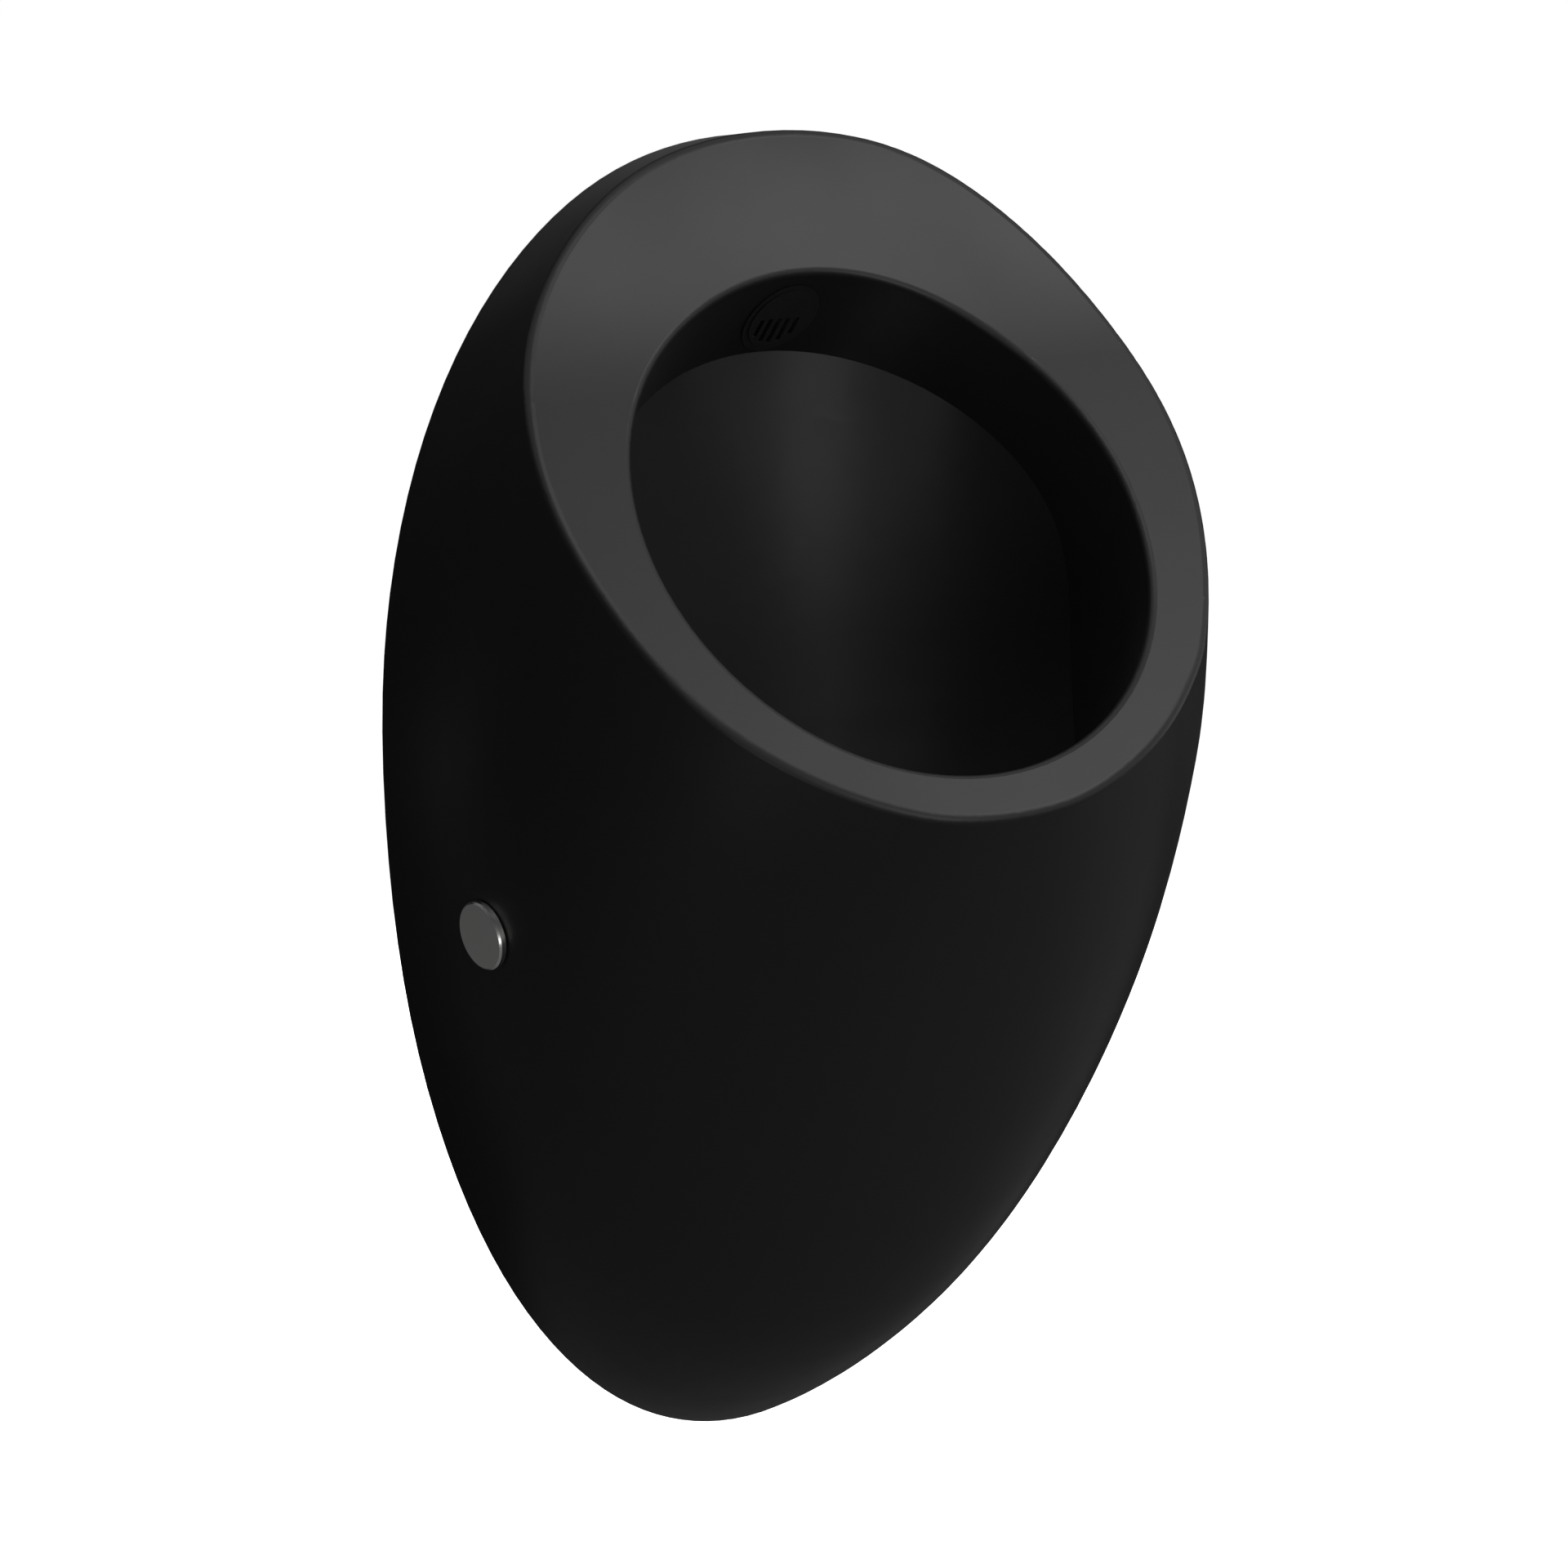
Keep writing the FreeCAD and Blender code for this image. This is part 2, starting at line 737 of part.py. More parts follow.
def trap_body():
    """Bottle with a neck over the waste tail and a socket for the outlet pipe."""
    throat = outlet_radius - outlet_wall
    socket_floor = outlet_socket_gap + outlet_socket_depth
    axis = Vec(0, -drain_depth, outlet_height())
    neck = rod(drain_place(trap_top() - trap_wall), Z_AXIS, neck_bore() + trap_neck_wall,
               trap_wall + trap_neck_height)
    spout = rod(axis, Y_AXIS, throat + outlet_socket_wall, drain_depth - socket_floor)
    socket = rod(Vec(0, -socket_floor - outlet_socket_wall, outlet_height()), Y_AXIS,
                 socket_bore() + outlet_socket_wall, outlet_socket_depth + outlet_socket_wall)
    body = trap_cup(0.0).fuse([neck, spout, socket])
    way_in = rod(drain_place(trap_top() - 2 * trap_wall), Z_AXIS, neck_bore(),
                 3 * trap_wall + trap_neck_height)
    way_out = rod(axis, Y_AXIS, throat, drain_depth)
    pipe_room = rod(Vec(0, -socket_floor, outlet_height()), Y_AXIS, socket_bore(),
                    outlet_socket_depth + 1)
    return body.cut([trap_cup(trap_wall), way_in, way_out, pipe_room]).removeSplitter()


def trap_seal():
    """Rubber sleeve between the waste tail and the trap's neck, with a lip on the neck's end."""
    low = trap_top()
    end = low + trap_neck_height
    inner = tail_radius + rubber_gap
    outline = [(inner, low), (neck_bore() - rubber_gap, low), (neck_bore() - rubber_gap, end),
               (neck_bore() + trap_neck_wall, end), (neck_bore() + trap_neck_wall, end + trap_seal_lip),
               (inner, end + trap_seal_lip)]
    return along(revolve(outline), drain_place(0), Z_AXIS)


def beaded_pipe(start, radius, wall, length, bead_at):
    """A pipe towards the wall, with a bead that starts at the given distance along it."""
    bore = radius - wall
    bead = radius + pipe_bead_height
    return along(revolve([(bore, 0), (radius, 0), (radius, bead_at), (bead, bead_at),
                          (bead, bead_at + pipe_bead_length), (radius, bead_at + pipe_bead_length),
                          (radius, length), (bore, length)]), start, Y_AXIS)


def outlet_pipe():
    start = Vec(0, -outlet_socket_gap - outlet_socket_depth, outlet_height())
    length = outlet_socket_gap + outlet_socket_depth + outlet_reach
    return beaded_pipe(start, outlet_radius, outlet_wall, length, outlet_socket_depth)


def outlet_seal():
    start = Vec(0, -outlet_socket_gap - outlet_seal_length, outlet_height())
    return tube(start, Y_AXIS, socket_bore() - rubber_gap, outlet_radius + rubber_gap,
                outlet_seal_length)


# ---- Water inlet -----------------------------------------------------------------------------------------
def inlet_pipe_radius():
    return inlet_bore_radius - seal_sleeve - rubber_gap


def inlet_end():
    """Depth at which the supply pipe ends inside the china."""
    return inlet_hub_gap + inlet_insertion


def inlet_connector():
    return beaded_pipe(inlet_place(inlet_end()), inlet_pipe_radius(), inlet_pipe_wall,
                       inlet_end() + inlet_reach, inlet_insertion + seal_flange_thickness)


def inlet_seal():
    """Rubber sleeve round the supply pipe with a flange against the back of the china."""
    inner = inlet_pipe_radius() + rubber_gap / 2
    sleeve = tube(inlet_place(inlet_hub_gap + seal_sleeve_length), Y_AXIS,
                  inlet_bore_radius - rubber_gap / 2, inner, seal_sleeve_length)
    flange = tube(inlet_place(inlet_hub_gap), Y_AXIS, seal_flange_radius, inner,
                  seal_flange_thickness)
    return sleeve.fuse(flange)


def spreader_nozzle():
    """Slotted spreader that stands out of the hood's underside and follows its curve."""
    back = inlet_end() + slip_gap
    length = in_front_of_mouth() - back
    body = rod(inlet_place(in_front_of_mouth()), Y_AXIS, inlet_pipe_radius(), length)
    room = rod(inlet_place(in_front_of_mouth()), Y_AXIS, inlet_pipe_radius() - nozzle_wall, length)
    plate = rod(inlet_place(in_front_of_mouth()), Y_AXIS, inlet_bore_radius + nozzle_flange, length)
    plate = plate.common(mouth(-slip_gap)).cut(mouth(-slip_gap - nozzle_flange_thickness))
    shell = body.cut(mouth(-nozzle_proud)).fuse(plate)
    shell = shell.cut(room.cut(mouth(nozzle_wall - nozzle_proud)))
    spigot_radius = inlet_pipe_radius() - inlet_pipe_wall - slip_gap
    spigot = tube(inlet_place(back + nozzle_wall), Y_AXIS, spigot_radius,
                  spigot_radius - nozzle_wall, nozzle_spigot + nozzle_wall)
    bulkhead = tube(inlet_place(back + nozzle_wall), Y_AXIS, inlet_pipe_radius() - nozzle_wall / 2,
                    spigot_radius - nozzle_wall, nozzle_wall)
    slots = []
    for k in range(nozzle_slots):
        x = (k - (nozzle_slots - 1) / 2) * nozzle_slot_pitch
        low = inlet_height - math.sqrt((inlet_pipe_radius() - nozzle_wall) ** 2 - x ** 2)
        slots.append(box(Vec(x - nozzle_slot_width / 2, -in_front_of_mouth(), low),
                         Vec(x + nozzle_slot_width / 2, -back - nozzle_wall, inlet_height)))
    return shell.fuse([spigot, bulkhead]).cut(slots)


def spreader_seal():
    start = inlet_end() + seal_sleeve_length / 2
    return tube(inlet_place(start), Y_AXIS, inlet_bore_radius - rubber_gap / 2,
                inlet_pipe_radius() + rubber_gap / 2, seal_sleeve_length / 2 - slip_gap)


# ---- Side fixing -------------------------------------------------------------------------------------------
def collar_bore():
    return counterbore_radius - slip_gap - bush_wall


def screw_seat():
    """Distance below the glaze of the face under the side screw's head."""
    return counterbore_depth - bush_flange_thickness


def anchor_start():
    return side_boss_depth + anchor_gap


def side_cap(side):
    """Round bevelled cover with a skirt that snaps into the bush."""
    outer = collar_bore() - rubber_gap
    inner = outer - cap_skirt_wall
    top = cap_lift + cap_thickness
    outline = [(0, cap_lift), (inner, cap_lift), (inner, cap_lift - cap_skirt_length),
               (outer, cap_lift - cap_skirt_length), (outer, cap_lift), (cap_radius, cap_lift),
               (cap_radius, top - cap_bevel), (cap_radius - cap_bevel, top), (0, top)]
    return mirrored(along(revolve(outline), side_point(), side_outward()), side)


def side_bush(side):
    """Plastic bush between screw and china, with the collar that holds the cap."""
    outer = counterbore_radius - slip_gap
    sleeve = side_hole_radius - slip_gap
    bore = side_screw_radius + slip_gap
    floor = -counterbore_depth
    seat = -screw_seat()
    outline = [(bore, -side_boss_depth), (sleeve, -side_boss_depth), (sleeve, floor),
               (outer, floor), (outer, seat + bush_collar_height),
               (collar_bore(), seat + bush_collar_height), (collar_bore(), seat), (bore, seat)]
    return mirrored(along(revolve(outline), side_point(), side_outward()), side)


def socket_screw(start, axis, radius, length, head_radius, head_height, flats):
    """Round-headed screw from the face under its head, with a hexagon socket in the head."""
    socket_floor = screw_socket_share * head_height
    head = rod(start, axis, head_radius, head_height)
    shank = rod(start - axis * length, axis, radius, length)
    key = hexagon(start + axis * socket_floor, axis, flats, head_height, 0)
    return head.fuse(shank).cut(key)


def side_screw(side):
    screw = socket_screw(side_place(-screw_seat()), side_outward(), side_screw_radius,
                         side_screw_length, side_head_radius, side_head_height, side_socket_flats)
    return mirrored(screw, side)


def anchor_middle():
    return side_place(-anchor_start() - anchor_length / 2)


def stud_place(depth):
    middle = anchor_middle()
    return Vec(middle.x, -depth, middle.z - stud_drop)


def block_back():
    """Depth of the anchor block's back face."""
    return -anchor_middle().y - stud_block_length / 2


def side_anchor(side):
    """Threaded barrel for the side screw on a block that the wall stud passes through."""
    outward = side_outward()
    barrel = rod(side_place(-anchor_start() - anchor_length), outward, anchor_radius, anchor_length)
    stud = stud_place(block_back())
    block = box(stud + Vec(-stud_block_half, -stud_block_length, -stud_block_half),
                stud + Vec(stud_block_half, 0, stud_drop))
    thread = rod(side_place(-anchor_start() - anchor_length - 1), outward,
                 side_screw_radius + thread_gap, anchor_length + 2)
    stud_hole = rod(stud_place(block_back() + stud_block_length + 1), Y_AXIS,
                    stud_radius + hole_gap, stud_block_length + 2)
    return mirrored(barrel.fuse(block).cut([thread, stud_hole]).removeSplitter(), side)


def stud_stack():
    """Depths of the washers and nuts on a stud, as (depth of the front face, what it is)."""
    back = block_back()
    front = back + stud_block_length
    return {"back washer": back, "back nut": back - stud_washer_thickness,
            "front washer": front + stud_washer_thickness,
            "front nut": front + stud_washer_thickness + stud_nut_height}


def side_stud(side):
    tip = stud_stack()["front nut"] + stud_tip
    return mirrored(rod(stud_place(tip), Y_AXIS, stud_radius, tip + plug_length - plug_tip - 1), side)


def stud_washer(side, place):
    return mirrored(tube(stud_place(stud_stack()[place + " washer"]), Y_AXIS, stud_washer_radius,
                         stud_radius + slip_gap, stud_washer_thickness), side)


def stud_nut(side, place):
    return mirrored(hexagon(stud_place(stud_stack()[place + " nut"]), Y_AXIS, stud_nut_flats,
                            stud_nut_height, stud_radius + thread_gap), side)


def wall_plug(start, bore):
    """Plain expanding plug in the wall, with a solid tip."""
    outer = bore + plug_wall
    floor = plug_length - plug_tip
    outline = [(0, floor), (bore, floor), (bore, 0), (outer, 0), (outer, plug_length - plug_bevel),
               (outer - plug_bevel, plug_length), (0, plug_length)]
    return along(revolve(outline), start, Y_AXIS)


def stud_plug(side):
    return mirrored(wall_plug(stud_place(0), stud_radius + thread_gap), side)


# ---- Hanging hooks -------------------------------------------------------------------------------------------
def hook_screw_heights():
    first = hook_trough_height - hook_screw_first
    return first, first - hook_screw_spacing


def hook_place(height, depth):
    return Vec(-hook_x, -depth, height)


def bent_strip(points):
    """A strip of hook's width, bent to the side view given as (depth, height) corners."""
    corners = [Vec(-hook_x - hook_width / 2, -depth, height) for depth, height in points]
    return prism(corners, Vec(hook_width, 0, 0))


def hanging_hook(side):
    """Steel strip against the wall, bent forwards and up into a trough."""
    trough = hook_trough_height
    lip = trough + hook_lip_height
    inside = hook_steel + hook_trough_depth
    strip = bent_strip([(0, trough - hook_drop), (0, lip), (hook_steel, lip), (hook_steel, trough),
                        (inside, trough), (inside, lip), (inside + hook_steel, lip),
                        (inside + hook_steel, trough - hook_steel),
                        (hook_steel, trough - hook_steel), (hook_steel, trough - hook_drop)])
    holes = [rod(hook_place(height, hook_steel + 1), Y_AXIS, hook_screw_radius + hole_gap,
                 hook_steel + 2) for height in hook_screw_heights()]
    return mirrored(strip.cut(holes), side)


def hook_liner_piece(side):
    """Thin plastic lining of the trough that the china stands in."""
    trough = hook_trough_height
    lip = trough + hook_lip_height
    back = hook_steel
    front = hook_steel + hook_trough_depth
    strip = bent_strip([(back, trough), (back, lip), (back + hook_liner, lip),
                        (back + hook_liner, trough + hook_liner),
                        (front - hook_liner, trough + hook_liner), (front - hook_liner, lip),
                        (front, lip), (front, trough)])
    return mirrored(strip, side)


def hook_screw(side, height):
    screw = socket_screw(hook_place(height, hook_steel), Vec(0, -1, 0), hook_screw_radius,
                         hook_screw_length, hook_head_radius, hook_head_height, hook_socket_flats)
    return mirrored(screw, side)


def hook_plug(side, height):
    return mirrored(wall_plug(hook_place(height, 0), hook_screw_radius + thread_gap), side)


# ---- The whole urinal ------------------------------------------------------------------------------------------
def both(piece):
    return [piece(side) for side in SIDES.values()]


def at_hooks(piece):
    return [piece(side, height) for side in SIDES.values() for height in hook_screw_heights()]


def on_studs(piece):
    return [piece(side, place) for side in SIDES.values() for place in ("front", "back")]


def all_nodes():
    """Every node's name with its solids."""
    nodes = {
        "ceramic_body": [ceramic_body()],
        "strainer": [strainer()],
        "waste_top_gasket": [waste_top_gasket()],
        "waste_tail": [waste_tail()],
        "waste_bottom_gasket": [waste_bottom_gasket()],
        "waste_nut": [waste_nut()],
        "dip_tube": [dip_tube()],
        "trap_body": [trap_body()],
        "trap_seal": [trap_seal()],
        "outlet_seal": [outlet_seal()],
        "outlet_pipe": [outlet_pipe()],
        "inlet_connector": [inlet_connector()],
        "inlet_seal": [inlet_seal()],
        "spreader_nozzle": [spreader_nozzle()],
        "spreader_seal": [spreader_seal()],
        "side_bushes": both(side_bush),
        "side_screws": both(side_screw),
        "side_studs": both(side_stud),
        "stud_washers": on_studs(stud_washer),
        "stud_nuts": on_studs(stud_nut),
        "stud_plugs": both(stud_plug),
        "hook_liners": both(hook_liner_piece),
        "hook_screws": at_hooks(hook_screw),
        "hook_plugs": at_hooks(hook_plug),
    }
    for name, side in SIDES.items():
        nodes["side_cap_" + name] = [side_cap(side)]
        nodes["side_anchor_" + name] = [side_anchor(side)]
        nodes["hanging_hook_" + name] = [hanging_hook(side)]
    return nodes


def export(name, solids):
    singles = [solid for shape in solids for solid in shape.Solids]
    if len(singles) != len(solids):
        raise ValueError("{}: {} solids instead of {}".format(name, len(singles), len(solids)))
    shape = singles[0] if len(singles) == 1 else Part.makeCompound(singles)
    shape.exportStep("parts/" + name + ".step")


if __name__ == "__main__":
    os.makedirs("parts", exist_ok=True)
    for node, solids in all_nodes().items():
        export(node, solids)
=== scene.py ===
import json
import math

import bpy
from bpy.props import FloatProperty, FloatVectorProperty, PointerProperty, StringProperty
from mathutils import Matrix, Vector

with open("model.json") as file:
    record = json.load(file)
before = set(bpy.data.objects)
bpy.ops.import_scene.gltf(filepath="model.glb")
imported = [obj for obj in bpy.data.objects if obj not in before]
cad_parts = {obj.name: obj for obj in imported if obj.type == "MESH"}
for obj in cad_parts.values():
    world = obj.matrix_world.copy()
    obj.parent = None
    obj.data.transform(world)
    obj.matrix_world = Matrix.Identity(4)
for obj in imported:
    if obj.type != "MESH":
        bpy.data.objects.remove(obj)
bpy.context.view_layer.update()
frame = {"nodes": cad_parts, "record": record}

bl_info = {
    "name": "Wall-hung urinal",
    "version": (1, 0, 0),
    "blender": (4, 5, 0),
    "location": "View3D > Sidebar > Urinal",
    "description": "Finishes of an egg-shaped urinal and its hidden fittings, with a soft studio",
    "category": "Object",
}

SIDES = ("left", "right")
INTO_WALL = Vector((0, 1, 0))
UP = Vector((0, 0, 1))

PHOTO_SIZE = 1920           # pixels, each way
PHOTO_FOCAL_LENGTH = 6831   # pixels
SENSOR_WIDTH = 36.0         # mm
FLOOR_HALF_SIZE = 8.0       # metres; past the floor's edge the world shows just as white

NOISE_LOW = 0.35            # most of what a noise texture gives lies between these two
NOISE_HIGH = 0.65
STUD_PITCH = 1.5            # mm, of the M10 wall studs
HOOK_SCREW_PITCH = 2.2      # mm, of the screws that hold the hooks
STUD_THREAD_LEAD = 1.0      # metres in front of the wall, so that the thread covers the whole stud


# ---- Node helpers ----------------------------------------------------------------------------
def linear(hex_colour):
    """An sRGB hex colour, such as #1a1a1b, as linear red, green, blue and full alpha."""
    channels = [int(hex_colour[k:k + 2], 16) / 255 for k in (1, 3, 5)]
    return [c / 12.92 if c <= 0.04045 else ((c + 0.055) / 1.055) ** 2.4 for c in channels] + [1.0]


def per_mm(size):
    """Scale of a texture whose features are this many millimetres apart."""
    return 1000 / size


def add_node(tree, kind, settings=None, inputs=None):
    """Adds a node, sets its properties, and sets or links its inputs."""
    node = tree.nodes.new(kind)
    for key, value in (settings or {}).items():
        setattr(node, key, value)
    for key, value in (inputs or {}).items():
        if isinstance(value, bpy.types.NodeSocket):
            tree.links.new(value, node.inputs[key])
        else:
            node.inputs[key].default_value = value
    return node


def surface(name, colour, roughness, metallic=0.0):
    """A named material with one principled shader, and the place that its patterns start from."""
    material = bpy.data.materials.new(name)
    material.use_nodes = True
    tree = material.node_tree
    tree.nodes.clear()
    shader = add_node(tree, "ShaderNodeBsdfPrincipled", inputs={
        "Base Color": linear(colour), "Roughness": roughness, "Metallic": metallic})
    add_node(tree, "ShaderNodeOutputMaterial", inputs={"Surface": shader.outputs[0]})
    place = add_node(tree, "ShaderNodeTexCoord").outputs["Object"]
    return material, tree, shader, place


def noise(tree, place, size_mm, detail=2.0):
    """Noise whose blots are about the given size."""
    texture = add_node(tree, "ShaderNodeTexNoise", inputs={
        "Vector": place, "Scale": per_mm(size_mm), "Detail": detail})
    return texture.outputs[0]


def raise_surface(tree, shader, height, depth_mm):
    """Bumps the surface by a height from 0 to 1, which is worth the given depth."""
    bump = add_node(tree, "ShaderNodeBump", inputs={
        "Height": height, "Strength": 1.0, "Distance": depth_mm / 1000})
    tree.links.new(bump.outputs[0], shader.inputs["Normal"])


def vary_colour(tree, shader, share, first, second):
    """Runs the base colour from one colour to the other with a share from 0 to 1."""
    ramp = add_node(tree, "ShaderNodeValToRGB", inputs={0: share})
    for stop, position, colour in zip(ramp.color_ramp.elements, (NOISE_LOW, NOISE_HIGH),
                                      (first, second)):
        stop.position = position
        stop.color = linear(colour)
    tree.links.new(ramp.outputs[0], shader.inputs["Base Color"])


def vary_roughness(tree, shader, share, low, high):
    """Runs the roughness from low to high with a share from 0 to 1."""
    level = add_node(tree, "ShaderNodeMapRange", inputs={
        "Value": share, "From Min": NOISE_LOW, "From Max": NOISE_HIGH,
        "To Min": low, "To Max": high})
    tree.links.new(level.outputs[0], shader.inputs["Roughness"])


def from_point(tree, place, point):
    """The way from a point to the place on the surface, in metres."""
    offset = add_node(tree, "ShaderNodeVectorMath", {"operation": "SUBTRACT"},
                      {0: place, 1: tuple(point)})
    return offset.outputs[0]


def off_axis(tree, place, point, axis):
    """Distance from a line through a point, in metres."""
    across = add_node(tree, "ShaderNodeVectorMath", {"operation": "CROSS_PRODUCT"},
                      {0: from_point(tree, place, point), 1: tuple(axis)})
    length = add_node(tree, "ShaderNodeVectorMath", {"operation": "LENGTH"}, {0: across.outputs[0]})
    return length.outputs["Value"]


def along_axis(tree, place, point, axis):
    """Distance past a point in the direction of an axis, in metres."""
    travel = add_node(tree, "ShaderNodeVectorMath", {"operation": "DOT_PRODUCT"},
                      {0: from_point(tree, place, point), 1: tuple(axis)})
    return travel.outputs["Value"]


def grooves(tree, distance, pitch_mm):
    """Noise that only changes with a distance: turning or brushing marks."""
    line = add_node(tree, "ShaderNodeCombineXYZ", inputs={"X": distance})
    return noise(tree, line.outputs[0], pitch_mm, detail=3.0)


def thread_ridges(tree, travel, pitch_mm):
    """A wave from -1 to 1 at the thread's pitch, only where travel is positive."""
    turn = add_node(tree, "ShaderNodeMath", {"operation": "MULTIPLY"},
                    {0: travel, 1: 2 * math.pi * per_mm(pitch_mm)})
    wave = add_node(tree, "ShaderNodeMath", {"operation": "SINE"}, {0: turn.outputs[0]})
    past_start = add_node(tree, "ShaderNodeMath", {"operation": "GREATER_THAN"}, {0: travel, 1: 0.0})
    ridges = add_node(tree, "ShaderNodeMath", {"operation": "MULTIPLY"},
                      {0: wave.outputs[0], 1: past_start.outputs[0]})
    return ridges.outputs[0]


def background_rays(tree):
    """1 for the rays that show the background: to the camera, in metal and through glass."""
    path = add_node(tree, "ShaderNodeLightPath")
    mirrored = add_node(tree, "ShaderNodeMath", {"operation": "MAXIMUM"}, {
        0: path.outputs["Is Camera Ray"], 1: path.outputs["Is Glossy Ray"]})
    shown = add_node(tree, "ShaderNodeMath", {"operation": "MAXIMUM"}, {
        0: mirrored.outputs[0], 1: path.outputs["Is Transmission Ray"]})
    return shown.outputs[0]


# ---- Materials of the urinal -------------------------------------------------------------------
def vitreous_china_glazed_black(finishes):
    """Slip-cast vitreous china under a sprayed black glaze.

    The eye sees deep black with a soft satin gloss, a barely wavy orange peel, and slightly
    duller and glossier patches where the spray lay thin or thick.
    """
    material, tree, shader, place = surface("vitreous_china_glazed_black", finishes.glaze_colour,
                                            finishes.glaze_roughness)
    shader.inputs["Specular IOR Level"].default_value = finishes.glaze_gloss
    spray = noise(tree, place, size_mm=70.0)
    patchiness = 0.02
    vary_roughness(tree, shader, spray, low=finishes.glaze_roughness - patchiness,
                   high=finishes.glaze_roughness + patchiness)
    raise_surface(tree, shader, noise(tree, place, size_mm=9.0), depth_mm=0.02)
    return material


def brass_satin_plated(name, colour, point, axis):
    """Brass, turned on a lathe and satin plated: soft grey metal with hardly visible rings."""
    material, tree, shader, place = surface(name, colour, roughness=0.22, metallic=1.0)
    # The real rings are under 0.2 mm apart, too fine to show, so they are drawn coarser.
    rings = grooves(tree, off_axis(tree, place, point, axis), pitch_mm=0.6)
    vary_roughness(tree, shader, rings, low=0.20, high=0.25)
    raise_surface(tree, shader, rings, depth_mm=0.0008)
    return material


def stainless_steel_brushed(point):
    """Stainless steel, pressed and brushed round: bright grey with fine circles."""
    material, tree, shader, place = surface("stainless_steel_brushed_round", "#b4b3b0",
                                            roughness=0.32, metallic=1.0)
    # The real circles are too fine to show, so they are drawn coarser.
    circles = grooves(tree, off_axis(tree, place, point, UP), pitch_mm=0.7)
    vary_roughness(tree, shader, circles, low=0.27, high=0.40)
    raise_surface(tree, shader, circles, depth_mm=0.005)
    return material


def zinc_plating(name):
    """Zinc plating on mild steel: cool grey with faint pale clouds."""
    material, tree, shader, place = surface(name, "#adb2b5", roughness=0.38, metallic=1.0)
    clouds = noise(tree, place, size_mm=14.0, detail=4.0)
    vary_colour(tree, shader, clouds, "#a9aeb1", "#b1b1ac")
    vary_roughness(tree, shader, clouds, low=0.36, high=0.42)
    return material, tree, shader, place


def steel_zinc_plated():
    """Mild steel, pressed or turned and then zinc plated: only the plating's clouds show."""
    return zinc_plating("steel_zinc_plated")[0]


def steel_sheet_zinc_plated():
    """The same plating on bent strip, which keeps the faint upright grain of the rolled sheet."""
    material, tree, shader, place = zinc_plating("steel_sheet_zinc_plated")
    stretched = add_node(tree, "ShaderNodeMapping", {"vector_type": "POINT"},
                         {"Vector": place, "Scale": (1.0, 1.0, 0.06)})
    grain = noise(tree, stretched.outputs[0], size_mm=0.8)
    raise_surface(tree, shader, grain, depth_mm=0.01)
    return material


def steel_thread_rolled(name, travel_from, pitch_mm):
    """Zinc-plated steel with a rolled thread: rings of light and dark along the shank."""
    material, tree, shader, place = zinc_plating(name)
    ridges = thread_ridges(tree, along_axis(tree, place, travel_from, INTO_WALL), pitch_mm)
    raise_surface(tree, shader, ridges, depth_mm=0.2)
    return material


def zinc_alloy_die_cast():
    """Zinc alloy, die cast and left raw: dull blue-grey with a faintly pitted skin."""
    material, tree, shader, place = surface("zinc_alloy_die_cast", "#8f9396",
                                            roughness=0.50, metallic=1.0)
    pits = noise(tree, place, size_mm=1.6, detail=4.0)
    vary_colour(tree, shader, noise(tree, place, size_mm=11.0), "#888c90", "#999c9e")
    raise_surface(tree, shader, pits, depth_mm=0.04)
    return material


def brass_nickel_plated(point):
    """Brass tube, drawn and nickel plated: warm bright grey with faint bands round the tube."""
    material, tree, shader, place = surface("brass_nickel_plated_tube", "#bdb8ae",
                                            roughness=0.24, metallic=1.0)
    bands = grooves(tree, along_axis(tree, place, point, INTO_WALL), pitch_mm=1.4)
    vary_roughness(tree, shader, bands, low=0.20, high=0.30)
    raise_surface(tree, shader, bands, depth_mm=0.004)
    return material


def rubber_moulded():
    """Synthetic rubber, moulded: dead black with a grey bloom in patches."""
    material, tree, shader, place = surface("rubber_moulded_black", "#191919", roughness=0.75)
    bloom = noise(tree, place, size_mm=8.0, detail=4.0)
    vary_colour(tree, shader, bloom, "#151515", "#242422")
    raise_surface(tree, shader, noise(tree, place, size_mm=0.7), depth_mm=0.02)
    return material


def abs_moulded_black():
    """ABS, moulded in a spark-eroded tool: black with an even fine grain."""
    material, tree, shader, place = surface("abs_moulded_black", "#0d0d0e", roughness=0.55)
    # The grain is drawn about twice as coarse as a real tool's, so that it shows.
    grain = noise(tree, place, size_mm=0.6)
    vary_roughness(tree, shader, grain, low=0.48, high=0.62)
    raise_surface(tree, shader, grain, depth_mm=0.02)
    return material


def polypropylene_moulded_white():
    """Polypropylene, injection moulded: waxy white, slightly cloudy, smooth gloss."""
    material, tree, shader, place = surface("polypropylene_moulded_white", "#e1e1dc",
                                            roughness=0.36)
    flow = noise(tree, place, size_mm=22.0)
    vary_colour(tree, shader, flow, "#dddcd6", "#e6e6e2")
    vary_roughness(tree, shader, flow, low=0.32, high=0.42)
    raise_surface(tree, shader, noise(tree, place, size_mm=3.0), depth_mm=0.01)
    return material


def nylon_moulded_grey():
    """Nylon, injection moulded: mid grey, softly matt, faintly mottled."""
    material, tree, shader, place = surface("nylon_moulded_grey", "#7c8083", roughness=0.48)
    vary_colour(tree, shader, noise(tree, place, size_mm=5.0), "#777b7e", "#84888a")
    raise_surface(tree, shader, noise(tree, place, size_mm=1.0), depth_mm=0.02)
    return material


